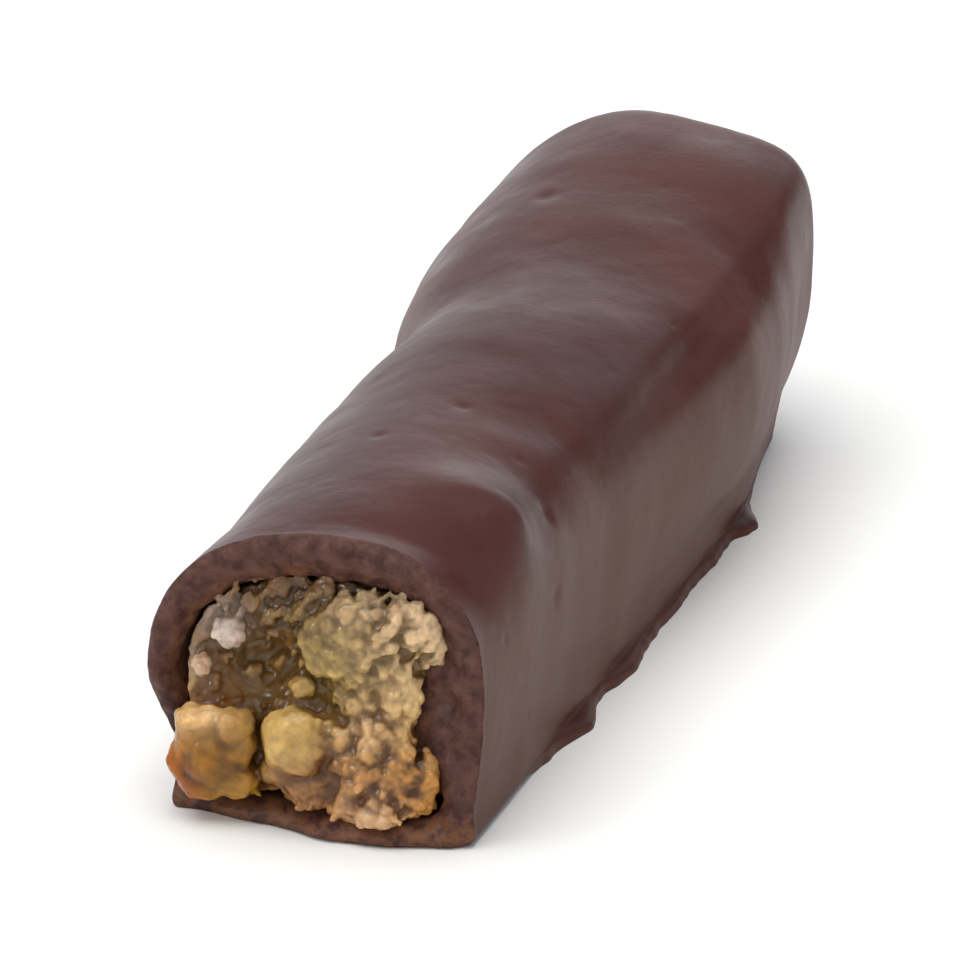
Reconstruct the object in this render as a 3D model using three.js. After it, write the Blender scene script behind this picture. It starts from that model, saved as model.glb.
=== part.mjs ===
// Half of an orangette: a stick of candied orange peel enrobed in dark chocolate, broken across so that the
// peel shows. Sizes are in millimetres. X runs across the stick to its right side, Y from the broken face
// back to the whole end, and Z up from the flat foot that the chocolate formed while it set.

import * as THREE from "three";
import { LoftGeometry } from "three/addons/geometries/LoftGeometry.js";
import { mergeVertices } from "three/addons/utils/BufferGeometryUtils.js";

const { clamp, lerp, smoothstep } = THREE.MathUtils;

// ---- Driving dimensions ----

const LENGTH = 42; // broken face to the whole end, along the middle
const HALF_WIDTH = 5.25; // of the chocolate at shoulder height
const CROWN = 9.85; // top of the chocolate

// The sides lean: the stick is widest at its shoulders and narrowest just above the foot.
const LEAN_IN = { left: 0.6, right: 0.25 };
const END_LEAN_IN = { at: 41, size: 0.6, spread: 7 }; // the right side leans in further at the whole end
// The height at which each side turns into its shoulder, and how square the shoulder is: 0.55 is round and
// 1 is square. The right shoulder squares up towards the whole end.
const SHOULDER = {
  left: { from: 4.8, square: 0.6 },
  right: { from: 5.6, square: 0.68, squareAtEnd: 0.92 },
  squaresUp: [30, 39],
};

// Widenings along the stick, where each is centred, how wide it is and how far it reaches.
const LEFT_LIP = { at: 0, size: 0.45, spread: 3 }; // the left side flares at the broken face
const LEFT_BELLY = { at: 13, size: 0.2, spread: 7 };
const RIGHT_BELLY = { at: 27, size: 0.95, spread: 9.5 };
const RIGHT_TAPER = { at: 41, size: -0.4, spread: 6 };
// Along the left side a crook in the peel starts at a crease, and the stick is wider from there on.
const CROOK = { at: 22, run: 12, width: 1.5, ease: 1.3 };

// The whole end turns to the right: its face slants back towards the left side, and its edges are rounded.
const END_TURN_FROM = 24; // where the slant begins
const END_SLANT = 0.36; // how far the end comes forward for each millimetre to the right
const END_CORNER = { beyond: 1.5, over: 4.5, back: 1.7 }; // the end's left corner is rounded off in plan
const END_UNDERCUT = 2.2; // how far the end face slopes forward down to the floor
const END_ROUND = 2.3; // radius of the edges round the end face
const END_DOME = 0.6; // how far the end face swells out

// The foot: a thin skirt of chocolate on the floor, with a groove above it where the side tucks in, and
// tongues where the chocolate ran out. At the broken face there is no skirt, and the lower edges are rounded.
const FOOT = {
  height: 0.6,
  reach: 0.08,
  lipRound: 0.18,
  groove: 0.45,
  grooveTop: 2,
  waistShare: 0.2, // how much of the side's lean is made up by the top of the groove
  from: 3,
  to: 9,
  roundAtFace: { left: 0.3, right: 0.8 },
};
const FOOT_TONGUES = {
  right: [
    { at: 10.8, size: 0.4, spread: 1.2 },
    { at: 16.5, size: 0.3, spread: 1.6 },
    { at: 31, size: 0.5, spread: 1.4 },
    { at: 41, size: -0.9, spread: 6 },
  ],
  left: [
    { at: 7, size: 0.5, spread: 2.4 },
    { at: 18, size: 0.8, spread: 3 },
    { at: 29, size: 0.35, spread: 2 },
    { at: 41, size: -0.8, spread: 4 },
  ],
};

// Swells and hollows of the coat: where each is centred, how far it reaches, and how far it stands out.
const RELIEF = [
  { at: [4.9, 1.6, 8.5], reach: 2.2, swell: -0.35 }, // hollow behind the broken edge
  { at: [4.3, 5.6, 9.1], reach: 2.2, swell: 0.3 }, // short ridge over the right edge
  { at: [3.9, 17.5, 9], reach: 4.4, swell: -0.2 }, // long hollow along the right edge
  { at: [-1.2, 15, 9.6], reach: 4.8, swell: -0.1 },
  { at: [1.2, 19.2, 9.6], reach: 4, swell: 0.25 }, // low saddle across the top
  { at: [1, 30, 9.6], reach: 5, swell: -0.35 }, // dish in the wide part
  { at: [-5.4, 23, 5.8], reach: 2.6, swell: -0.45 }, // crease at the crook
  { at: [5.2, 12, 5], reach: 5, swell: -0.2 },
];

// The wall of the coat round the peel.
const WALL = { left: 0.95, right: 1.1, roof: 1.7, floor: 0.7, end: 1.8 };
const RIM_ROUND = 0.3;
// The broken edge of the coat isn't straight. Seen from the front: centre (x, z), reach, and how far the
// edge is set back or, below 0, stands forward.
const RIM_BREAKS = [
  { at: [-5, 1.9], reach: 1.9, back: 1.5 }, // chip, low on the left
  { at: [1.6, 0], reach: 2.6, back: -0.85 }, // lip of the floor
];
const BREAK_FADE = 4.5; // how far behind the face the breaks have died out

// The peel fills the coat with this much room round it, and its face is set back from the broken edge.
const PEEL_GAP = 0.15;
const PEEL_SETBACK = 0.9;
const PEEL_SQUARE = { left: 0.62, right: 0.75 }; // of the shoulders of the hollow and the peel
const PEEL_CORNER = 0.9; // radius of the lower edges
// Lobes and pits of the broken peel, from the front: centre (x, z), reach, and how far each stands forward.
const PEEL_LOBES = [
  { at: [-3.3, 2.3], reach: 1.5, forward: 1.5 }, // clear lobe, low on the left
  { at: [-0.5, 2.9], reach: 1.3, forward: 1.3 }, // middle lobe
  { at: [2.1, 2.1], reach: 1.5, forward: 0.9 }, // crumbly corner, low on the right
  { at: [1.2, 5.9], reach: 2.1, forward: 0.95 }, // pale body of the pith
  { at: [3, 7.2], reach: 1, forward: 0.5 },
  { at: [-3.2, 6.6], reach: 1, forward: 0.6 },
  { at: [-2.5, 5.1], reach: 1.2, forward: -1.4 }, // deep pit
  { at: [-1.9, 2.9], reach: 0.6, forward: -0.9 }, // cleft between the lower lobes
  { at: [3.9, 5.2], reach: 0.8, forward: -0.7 }, // slot along the right wall
];
const EDGE_HOLD = 8; // the power by which lobes and pits die out at the very edge of the face
// The clear lobe also swells sideways, over the chip in the coat.
const LOBE_OVERHANG = { at: [-4.3, 2.3], reach: 1.7, left: 1.35 };

// Fineness of the faceted surfaces: the steps along half a cross-section, and the rings along the stick.
const STEPS = { underside: 2, lip: 3, tuck: 2, wall: 3, shoulder: 8 };
const OUTER_STEP = 1.2;
const INNER_STEP = 3;
const INNER_FROM = 2.2; // the first ring that the hollow and the peel share
const FACE_RINGS = 10;
const END_RINGS = 4;
const MERGE = 1e-4; // points closer than this are one

const CHOCOLATE = new THREE.MeshStandardMaterial({ color: 0x4a2a22, roughness: 0.42, metalness: 0 });
const CANDIED_PEEL = new THREE.MeshStandardMaterial({ color: 0xa98342, roughness: 0.5, metalness: 0 });

// ---- How sizes change along the stick ----

const hump = (y, { at, size, spread }) => size * Math.exp(-(((y - at) / spread) ** 2));
const humps = (y, list) => list.reduce((sum, one) => sum + hump(y, one), 0);
const crook = (y) => {
  const turn = (clamp((y - CROOK.at) / CROOK.run, 0, 1) * Math.PI) / 2;
  return CROOK.width * Math.sin(turn) ** CROOK.ease;
};

// The sizes of the coat's cross-section at a distance y from the broken face.
function coatSizes(y) {
  const skirt = smoothstep(y, FOOT.from, FOOT.to);
  const squared = smoothstep(y, ...SHOULDER.squaresUp);
  const { left, right } = SHOULDER;
  return {
    left: {
      width: HALF_WIDTH + humps(y, [LEFT_LIP, LEFT_BELLY]) + crook(y),
      leanIn: LEAN_IN.left,
      shoulderFrom: left.from,
      square: left.square,
      foot: lerp(-FOOT.roundAtFace.left, FOOT.reach + humps(y, FOOT_TONGUES.left), skirt),
    },
    right: {
      width: HALF_WIDTH + humps(y, [RIGHT_BELLY, RIGHT_TAPER]),
      leanIn: LEAN_IN.right + humps(y, [RIGHT_BELLY, END_LEAN_IN]),
      shoulderFrom: right.from,
      square: lerp(right.square, right.squareAtEnd, squared),
      foot: lerp(-FOOT.roundAtFace.right, FOOT.reach + humps(y, FOOT_TONGUES.right), skirt),
    },
    floor: 0,
    crown: CROWN,
    skirt,
  };
}

// The sizes of the hollow inside the coat or, with some room round it, of the peel that fills it.
function peelSizes(y, room = 0) {
  const coat = coatSizes(y);
  const within = (side) => {
    const width = coat[side].width - WALL[side] - room;
    return { ...coat[side], width, square: PEEL_SQUARE[side] };
  };
  return {
    left: within("left"),
    right: within("right"),
    floor: WALL.floor + room,
    crown: CROWN - WALL.roof - room,
    corner: PEEL_CORNER,
  };
}

// ---- Cross-sections ----

// The curves of the lower edge, from its tip on the floor up to the waist: a rounded corner, or the foot.
function lowerEdge(size, side, low, bend) {
  const { floor, corner, skirt } = size;
  if (skirt === undefined) {
    return [[bend([low - corner, floor], [low, floor], [low, floor + corner]), STEPS.lip + STEPS.tuck]];
  }
  const lip = [low + Math.max(side.foot, 0), FOOT.height * skirt];
  const tuck = [low - FOOT.groove * skirt, FOOT.height + FOOT.lipRound];
  const waist = [low + side.leanIn * FOOT.waistShare, FOOT.grooveTop];
  return [
    [bend([low + side.foot, floor], lip, tuck), STEPS.lip],
    [bend(tuck, [low, lerp(tuck[1], waist[1], 0.25)], waist), STEPS.tuck],
  ];
}

// Half of a cross-section in (x, z), from the underside up to the top: left is turn = -1 and right is 1.
function halfOutline(size, side, turn) {
  const at = ([x, z]) => new THREE.Vector2(turn * x, z);
  const bend = (...points) => new THREE.QuadraticBezierCurve(...points.map(at));
  const { floor, crown } = size;
  const { width, square, shoulderFrom } = side;
  const lower = lowerEdge(size, side, width - side.leanIn, bend);
  const tip = lower.at(0)[0].v0;
  const waist = lower.at(-1)[0].v2;
  const shoulder = at([width, shoulderFrom]);
  const wallBend = at([width, lerp(waist.y, shoulderFrom, 0.5)]);
  const rise = at([width, lerp(shoulderFrom, crown, square)]);
  const top = at([0, crown]);
  const curves = [
    [new THREE.LineCurve(at([0, floor]), tip), STEPS.underside],
    ...lower,
    [new THREE.QuadraticBezierCurve(waist, wallBend, shoulder), STEPS.wall],
    [new THREE.CubicBezierCurve(shoulder, rise, at([width * square, crown]), top), STEPS.shoulder],
  ];
  return [...curves.flatMap(([curve, steps]) => curve.getPoints(steps).slice(0, -1)), top];
}

// A ring of points at y: up the left side, over the top and down the right. `inset` draws it in, but its
// floor stays where it is.
function ring(size, y, inset = 0) {
  const left = halfOutline(size, size.left, -1);
  const right = halfOutline(size, size.right, 1).slice(1, -1).reverse();
  const middle = (size.right.width - size.left.width) / 2;
  const across = 1 - (2 * inset) / (size.left.width + size.right.width);
  const up = 1 - inset / (size.crown - size.floor);
  return [...left, ...right].map(
    (p) => new THREE.Vector3(middle + (p.x - middle) * across, y, size.floor + (p.y - size.floor) * up),
  );
}

// Rings at each of the stations, then round the edge of the whole end at y = end, and in to its dome's tip.
function bodyRings(sizes, stations, end, round, dome) {
  const turning = Array.from({ length: END_RINGS }, (_, i) => {
    const angle = (((i + 1) / END_RINGS) * Math.PI) / 2;
    const y = end - round * (1 - Math.sin(angle));
    return ring(sizes(y), y, round * (1 - Math.cos(angle)));
  });
  const last = sizes(end);
  const across = (last.right.width - last.left.width) / 2;
  const tip = new THREE.Vector3(across, end + dome, (last.crown + last.floor) / 2);
  const inwards = 0.4; // how far in from the end's edge the ring lies that gives the dome its curve
  const bulge = end + dome * (1 - (1 - inwards) ** 2);
  const domed = turning.at(-1).map((p) => p.clone().lerp(tip, inwards).setY(bulge));
  return [...stations.map((y) => ring(sizes(y), y)), ...turning, domed, domed.map(() => tip.clone())];
}

function stationsBetween(from, to, step) {
  const count = Math.ceil((to - from) / step);
  return Array.from({ length: count + 1 }, (_, i) => lerp(from, to, i / count));
}

// ---- What bends the plain sections into this stick ----

// Swells and hollows move a point away from or towards the middle of its section, but the foot stays down.
function relieved(p) {
  const outward = new THREE.Vector3(p.x, 0, p.z - CROWN / 2).normalize();
  const swell = RELIEF.reduce((sum, { at, reach, swell: size }) => {
    const away = p.distanceTo(new THREE.Vector3(...at)) / reach;
    return sum + size * Math.exp(-(away ** 2));
  }, 0);
  return p.clone().addScaledVector(outward, swell * smoothstep(p.z, FOOT.height, FOOT.grooveTop));
}

const spot = (x, z, { at, reach }) => Math.exp(-((Math.hypot(x - at[0], z - at[1]) / reach) ** 2));

// The breaks in the coat's edge fade out along the stick.
function broken(p) {
  const back = RIM_BREAKS.reduce((sum, one) => sum + one.back * spot(p.x, p.z, one), 0);
  return p.clone().setY(p.y + back * clamp(1 - p.y / BREAK_FADE, 0, 1));
}

// The whole end's slant, rounded left corner and undercut move each point of it forward or back.
function turned(p) {
  const corner = clamp((-p.x - END_CORNER.beyond) / END_CORNER.over, 0, 1);
  const back = -END_SLANT * p.x - END_CORNER.back * corner ** 2 - END_UNDERCUT * (1 - p.z / CROWN);
  return p.clone().setY(p.y + back * smoothstep(p.y, END_TURN_FROM, LENGTH));
}

// A closed surface through rings that begin and end in a single point, with each point moved by `shape`.
function closedLoft(rings, shape) {
  const loft = new LoftGeometry(rings.map((points) => points.map(shape)));
  const bare = new THREE.BufferGeometry().setIndex(loft.index);
  bare.setAttribute("position", loft.attributes.position);
  const closed = mergeVertices(bare, MERGE);
  closed.computeVertexNormals();
  return closed;
}

// ---- The two pieces ----

function chocolateCoat() {
  const outerStations = stationsBetween(RIM_ROUND, LENGTH - END_ROUND, OUTER_STEP);
  const hollowEnd = LENGTH - WALL.end;
  const hollowRound = END_ROUND / 2;
  const hollowStations = [RIM_ROUND, ...stationsBetween(INNER_FROM, hollowEnd - END_ROUND, INNER_STEP)];
  const outer = bodyRings(coatSizes, outerStations, LENGTH, END_ROUND, END_DOME);
  const hollow = bodyRings(peelSizes, hollowStations, hollowEnd, hollowRound, 0).reverse();
  const outerEdge = ring(coatSizes(0), 0);
  const innerEdge = ring(peelSizes(0), 0);
  const rim = [0.25, 0.75].map((share) => innerEdge.map((p, i) => p.clone().lerp(outerEdge[i], share)));
  return closedLoft([...hollow, ...rim, ...outer], (p) => turned(broken(relieved(p))));
}

// How far the broken face of the peel stands forward of its set-back plane.
function faceForward(x, z) {
  return PEEL_LOBES.reduce((sum, lobe) => sum + lobe.forward * spot(x, z, lobe), 0);
}

function candiedPeel() {
  const sizes = (y) => peelSizes(y, PEEL_GAP);
  const end = LENGTH - WALL.end - PEEL_GAP;
  const stations = stationsBetween(INNER_FROM, LENGTH - WALL.end - END_ROUND, INNER_STEP);
  const sides = bodyRings(sizes, stations, end, END_ROUND / 2, 0);
  const edge = ring(sizes(0), 0);
  const middle = new THREE.Vector3(0, 0, (CROWN - WALL.roof + WALL.floor) / 2);
  const face = Array.from({ length: FACE_RINGS + 1 }, (_, i) => {
    const loose = 1 - (i / FACE_RINGS) ** EDGE_HOLD;
    return edge.map((p) => {
      const { x, z } = middle.clone().lerp(p, i / FACE_RINGS);
      const overhang = LOBE_OVERHANG.left * spot(x, z, LOBE_OVERHANG) * loose;
      return new THREE.Vector3(x - overhang, PEEL_SETBACK - faceForward(x, z) * loose, z);
    });
  });
  return closedLoft([...face, ...sides], (p) => turned(relieved(p)));
}

function named(name, geometry, material) {
  const mesh = new THREE.Mesh(geometry, material);
  mesh.name = name;
  return mesh;
}

const orangette = new THREE.Group();
orangette.add(named("chocolate_coat", chocolateCoat(), CHOCOLATE));
orangette.add(named("candied_peel", candiedPeel(), CANDIED_PEEL));

const middle = new THREE.Box3().setFromObject(orangette).getCenter(new THREE.Vector3());
orangette.position.set(-middle.x, -middle.y, 0);

export default orangette;
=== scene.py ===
# Half of an orangette, dressed: the dark chocolate coat with its broken edge and its foot, and the candied
# peel that shows at the break. The two pieces repeat the model's sections at a finer step, with a lower lip
# on the foot, and add the fine relief. Shapes are worked out in the stick's own millimetres: X across it to
# the right, Y back from the broken face and Z up from the floor.

import math
import random

import bmesh
import bpy
import numpy as np
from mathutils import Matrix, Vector, noise
from mathutils.kdtree import KDTree


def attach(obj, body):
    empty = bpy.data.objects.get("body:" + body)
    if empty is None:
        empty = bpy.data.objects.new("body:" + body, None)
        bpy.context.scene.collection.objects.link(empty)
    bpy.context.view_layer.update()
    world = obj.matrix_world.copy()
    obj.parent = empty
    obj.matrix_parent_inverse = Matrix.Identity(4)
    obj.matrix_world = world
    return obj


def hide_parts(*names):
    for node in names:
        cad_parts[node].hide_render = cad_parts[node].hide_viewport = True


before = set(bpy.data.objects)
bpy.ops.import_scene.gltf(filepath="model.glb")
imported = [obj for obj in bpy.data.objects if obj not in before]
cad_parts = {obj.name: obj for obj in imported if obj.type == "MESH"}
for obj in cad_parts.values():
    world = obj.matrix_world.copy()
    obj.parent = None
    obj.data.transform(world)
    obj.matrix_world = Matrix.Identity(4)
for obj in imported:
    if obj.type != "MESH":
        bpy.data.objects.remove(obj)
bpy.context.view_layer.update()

MM = 0.001
FRAME_MIDDLE = (-0.2962, 20.7244, 0)  # where the frame's origin is, in the stick's own millimetres

# ---- Driving dimensions of the stick ----
# A hump along the stick is given by where its middle is, its size there and how far it spreads.

LENGTH = 42
HALF_WIDTH = 5.25
CROWN = 9.85  # the height of the top
LEAN_IN = {"left": 0.6, "right": 0.25}  # how much narrower each side is at the bottom
END_LEAN_IN = {"at": 41, "size": 0.6, "spread": 7}
SHOULDER_FROM = {"left": 4.8, "right": 5.6}  # the height at which each side begins to turn over
# How square the shoulders are: 0 is a straight slant, and 1 a corner.
SHOULDER_SQUARE = {"left": 0.6, "right": 0.68, "right_at_end": 0.92}
SQUARES_UP = (30, 39)  # between where the right shoulder goes over to its form at the end
LEFT_LIP = {"at": 0, "size": 0.45, "spread": 3}
LEFT_BELLY = {"at": 13, "size": 0.2, "spread": 7}
RIGHT_BELLY = {"at": 27, "size": 0.95, "spread": 9.5}
RIGHT_TAPER = {"at": 41, "size": -0.4, "spread": 6}
# The left side steps out: from where, over how far, by how much, and how softly it begins.
CROOK = {"at": 22, "run": 12, "width": 1.5, "ease": 1.3}

# The whole end is slanted: the stick is shorter on its right, at its left corner and at the floor.
END_TURN_FROM = 24
END_SLANT = 0.36
END_CORNER = {"beyond": 1.5, "over": 4.5, "back": 1.7}
END_UNDERCUT = 2.2
END_ROUND = 2.3
END_DOME = 0.6
# The corners of the end fade over this share of a row, by this share of the way in to the tip.
END_SOFTENED = {"reach": 0.11, "by": 0.45}

# The foot reaches as far as the model's, with a lower lip and a shallower groove over it.
FOOT_HEIGHT = 0.3
FOOT_REACH = 0.08
FOOT_LIP_ROUND = 0.12
FOOT_GROOVE = 0.1
FOOT_GROOVE_TOP = 2
FOOT_GROOVE_BEND = 0.25  # how far up the groove its curve bends
FOOT_WAIST_SHARE = 0.2  # how much of a side's lean the top of the groove makes up
FOOT_RISES = (3, 9)  # between where it grows out of the rounded lower edge at the face
FOOT_ROUND_AT_FACE = {"left": 0.3, "right": 0.8}
FOOT_TONGUES = {
    "right": [(10.8, 0.4, 1.2), (16.5, 0.3, 1.6), (31, 0.5, 1.4), (41, -0.9, 6)],
    "left": [(7, 0.5, 2.4), (18, 0.8, 3), (29, 0.35, 2), (41, -0.8, 4)],
}
# Its edge is ragged: wavelength and depth of each layer of unevenness.
FOOT_RAGGED = [(2.2, 0.16), (0.8, 0.1)]
RAGGED_SEED = {"left": 8.2, "right": 3.7}

# Swells and hollows: centre, reach, and how far each stands out or in.
RELIEF = [
    ((4.9, 1.6, 8.5), 2.2, -0.35),
    ((4.3, 5.6, 9.1), 2.2, 0.3),
    ((3.9, 17.5, 9), 4.4, -0.2),
    ((-1.2, 15, 9.6), 4.8, -0.1),
    ((1.2, 19.2, 9.6), 4, 0.25),
    ((1, 30, 9.6), 5, -0.35),
    ((-5.4, 23, 5.8), 2.6, -0.45),
    ((5.2, 12, 5), 5, -0.2),
]
# Folds of the coat that are too fine for the model: centre, radii along its own axes, how far it is turned
# about the vertical in degrees, and how far it stands out or in.
FOLDS = [
    ((4.4, 5.6, 9.1), (2.3, 1.3, 1.8), -6, 0.4),  # ridge behind the broken edge
    ((4.3, 9.4, 9.2), (2.4, 1.7, 1.8), 6, -0.2),
    ((2.6, 1.6, 9.6), (3.2, 1.0, 1.8), 12, -0.16),  # hollow that follows the edge
    ((2.8, 12.6, 9.4), (2.2, 1.5, 1.8), 30, -0.12),
    ((1.2, 19.2, 9.8), (3.4, 1.8, 1.8), 38, 0.05),  # fold across the top
    ((0.6, 25.4, 9.8), (4.2, 2.6, 1.8), 12, -0.15),
    ((5.3, 20, 8.3), (0.6, 14, 0.9), 0, -0.24),  # the right shoulder is hollow above its edge
    ((0.8, 30.6, 9.7), (4.2, 2.4, 1.8), 0, 0.14),
    ((1.0, 36.8, 9.7), (4.0, 2.6, 1.8), 0, 0.2),
    ((-3.2, 24.8, 9.0), (1.6, 2.8, 1.8), 10, -0.2),  # crease inside the crook
    ((-2.9, 12.0, 9.4), (1.2, 5.0, 2.0), 0, -0.08),
    ((5.6, 9.0, 5.5), (1.6, 1.2, 2.6), 0, 0.09),
    ((5.6, 19.0, 4.5), (1.6, 1.6, 2.6), 0, -0.1),
    ((6.0, 27.0, 6.0), (1.6, 1.8, 2.2), 0, 0.1),
    ((-5.4, 9.0, 4.0), (1.6, 2.2, 2.6), 0, 0.1),
    ((-5.8, 15.5, 5.0), (1.6, 2.0, 2.6), 0, -0.12),
    ((-6.4, 33.0, 4.5), (1.6, 2.6, 2.6), 0, 0.12),
    ((0.5, 41.5, 5.0), (3.0, 2.0, 1.6), 0, 0.12),
]

WALL = {"left": 0.95, "right": 1.1, "roof": 1.7, "floor": 0.7, "end": 1.8}  # how thick the coat is
RIM_ROUND = 0.3
# Breaks in the coat's edge: centre (x, z), reach, and how far each is set back.
RIM_BREAKS = [((-5, 1.9), 1.9, 1.5), ((1.6, 0), 2.6, -1.0)]
BREAK_FADE = 4.5  # how far behind the face they end

PEEL_GAP = 0.15  # between the peel and the coat
PEEL_SETBACK = 0.9  # how far the peel's face lies behind the broken edge
PEEL_SQUARE = {"left": 0.62, "right": 0.75}
PEEL_CORNER = 0.9

# How many points each curve of half a section has, and how many rows the rounding and the dome of an end.
STEPS = {"underside": 20, "lip": 12, "tuck": 14, "wall": 34, "shoulder": 84}
END_ROWS = {"outside": (16, 20), "inside": (3, 2)}

# The seed of the first layer of each piece of unevenness.
SEEDS = {"waves": 1, "fracture": 21, "edge": 31, "peel": 60}

# ---- Small helpers ----


def lerp(a, b, share):
    return a + (b - a) * share


def smoothstep(value, low, high):
    share = np.clip((value - low) / (high - low), 0, 1)
    return share * share * (3 - 2 * share)


def hump(y, at, size, spread):
    return size * math.exp(-(((y - at) / spread) ** 2))


def nearness(points, at, reach):
    """1 at the place, and falling off softly over `reach` round it."""
    away = np.linalg.norm(points - at, axis=-1) / reach
    return np.exp(-(away**2))


def spot(points, at, reach):
    """The same round a place (x, z) of the face, however far back."""
    away = np.hypot(points[..., 0] - at[0], points[..., 2] - at[1])
    return np.exp(-((away / reach) ** 2))


def moved_back(points, back):
    return np.stack([points[..., 0], points[..., 1] + back, points[..., 2]], axis=-1)


def bezier(points, shares):
    """Points of the curve with these control points, at these shares of it."""
    level = [np.asarray(p, float)[None, :] for p in points]
    shares = np.asarray(shares, float)[:, None]
    while len(level) > 1:
        level = [a + (b - a) * shares for a, b in zip(level, level[1:])]
    return level[0]


def ripple(points, wavelength, seed):
    """Soft noise between about -1 and 1. The wavelength is one number, or one for each axis."""
    scaled = np.asarray(points, float) / np.broadcast_to(wavelength, 3) + seed * np.array((17.3, 5.1, 9.7))
    return np.array([noise.noise(Vector(p)) for p in scaled])


def unevenness(points, layers, seed):
    """Layers of soft noise, each with its own wavelength and depth."""
    return sum(depth * ripple(points, wave, seed + i) for i, (wave, depth) in enumerate(layers))


def linear(red, green, blue):
    """A colour given as a screen shows it, from 0 to 255, as the shader takes it."""
    shares = [c / 255 for c in (red, green, blue)]
    return (*[c / 12.92 if c <= 0.04045 else ((c + 0.055) / 1.055) ** 2.4 for c in shares], 1)


# ---- Cross-sections, as in the model but for the lower lip of the foot ----


def crook(y):
    turn = min(max((y - CROOK["at"]) / CROOK["run"], 0), 1) * math.pi / 2
    return CROOK["width"] * math.sin(turn) ** CROOK["ease"]


def foot_reach(y, side):
    """How far the foot stands out, with its tongues and its ragged edge."""
    tongues = sum(hump(y, *tongue) for tongue in FOOT_TONGUES[side])
    seed = RAGGED_SEED[side]
    ragged = sum(depth * noise.noise(Vector((y / wave, seed, 0))) for wave, depth in FOOT_RAGGED)
    return FOOT_REACH + tongues + ragged


def coat_sizes(y):
    skirt = float(smoothstep(y, *FOOT_RISES))
    squared = float(smoothstep(y, *SQUARES_UP))
    return {
        "left": {
            "width": HALF_WIDTH + hump(y, **LEFT_LIP) + hump(y, **LEFT_BELLY) + crook(y),
            "lean": LEAN_IN["left"],
            "from": SHOULDER_FROM["left"],
            "square": SHOULDER_SQUARE["left"],
            "foot": lerp(-FOOT_ROUND_AT_FACE["left"], foot_reach(y, "left"), skirt),
        },
        "right": {
            "width": HALF_WIDTH + hump(y, **RIGHT_BELLY) + hump(y, **RIGHT_TAPER),
            "lean": LEAN_IN["right"] + hump(y, **RIGHT_BELLY) + hump(y, **END_LEAN_IN),
            "from": SHOULDER_FROM["right"],
            "square": lerp(SHOULDER_SQUARE["right"], SHOULDER_SQUARE["right_at_end"], squared),
            "foot": lerp(-FOOT_ROUND_AT_FACE["right"], foot_reach(y, "right"), skirt),
        },
        "floor": 0,
        "crown": CROWN,
        "skirt": skirt,
    }


def hollow_sizes(y, room=0.0):
    """The dimensions of the hollow in the coat at y, made narrower all round by `room`."""
    coat = coat_sizes(y)
    sizes = {"floor": WALL["floor"] + room, "crown": CROWN - WALL["roof"] - room, "corner": PEEL_CORNER}
    for side in ("left", "right"):
        width = coat[side]["width"] - WALL[side] - room
        sizes[side] = {**coat[side], "width": width, "square": PEEL_SQUARE[side]}
    return sizes


def peel_sizes(y):
    return hollow_sizes(y, PEEL_GAP)


def lower_edge(size, side, low):
    """The curves from the tip on the floor up to the waist: a rounded corner, or the coat's foot."""
    floor = size["floor"]
    if "corner" in size:
        corner = size["corner"]
        return [([(low - corner, floor), (low, floor), (low, floor + corner)], STEPS["lip"] + STEPS["tuck"])]
    skirt = size["skirt"]
    lip = (low + max(side["foot"], 0), FOOT_HEIGHT * skirt)
    tuck = (low - FOOT_GROOVE * skirt, FOOT_HEIGHT + FOOT_LIP_ROUND)
    waist = (low + side["lean"] * FOOT_WAIST_SHARE, FOOT_GROOVE_TOP)
    bend = (low, lerp(tuck[1], waist[1], FOOT_GROOVE_BEND))
    return [
        ([(low + side["foot"], floor), lip, tuck], STEPS["lip"]),
        ([tuck, bend, waist], STEPS["tuck"]),
    ]


def half_outline(size, name, turn):
    """Half of a section in (x, z), from the underside up to the top."""
    side = size[name]
    width = side["width"]
    lower = lower_edge(size, side, width - side["lean"])
    tip, waist = lower[0][0][0], lower[-1][0][-1]
    crown = size["crown"]
    rise = (width, lerp(side["from"], crown, side["square"]))
    curves = [
        ([(0, size["floor"]), tip], STEPS["underside"]),
        *lower,
        ([waist, (width, lerp(waist[1], side["from"], 0.5)), (width, side["from"])], STEPS["wall"]),
        ([(width, side["from"]), rise, (width * side["square"], crown), (0, crown)], STEPS["shoulder"]),
    ]
    points = [bezier(control, np.arange(count) / count) for control, count in curves]
    return np.vstack([*points, [(0, crown)]]) * (turn, 1)


def ring(size, y, inset=0.0):
    """A closed row of points at y, drawn in by `inset` with its floor kept where it is."""
    outline = np.vstack([half_outline(size, "left", -1), half_outline(size, "right", 1)[1:-1][::-1]])
    left, right = size["left"]["width"], size["right"]["width"]
    middle = (right - left) / 2
    across = 1 - 2 * inset / (left + right)
    up = 1 - inset / (size["crown"] - size["floor"])
    x = middle + (outline[:, 0] - middle) * across
    z = size["floor"] + (outline[:, 1] - size["floor"]) * up
    return np.column_stack([x, np.full(len(x), float(y)), z])


def softened(row):
    """The row with its corners rounded off by averaging each point with the ones along from it."""
    reach = round(len(row) * END_SOFTENED["reach"])
    return sum(np.roll(row, shift, axis=0) for shift in range(-reach, reach + 1)) / (2 * reach + 1)


def evenly_spaced(row):
    """The same closed row with its points at equal distances, starting from the same one."""
    loop = np.vstack([row, row[:1]])
    along = np.concatenate([[0], np.cumsum(np.linalg.norm(np.diff(loop, axis=0), axis=1))])
    places = np.linspace(0, along[-1], len(row), endpoint=False)
    return np.column_stack([np.interp(places, along, loop[:, axis]) for axis in range(3)])


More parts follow.
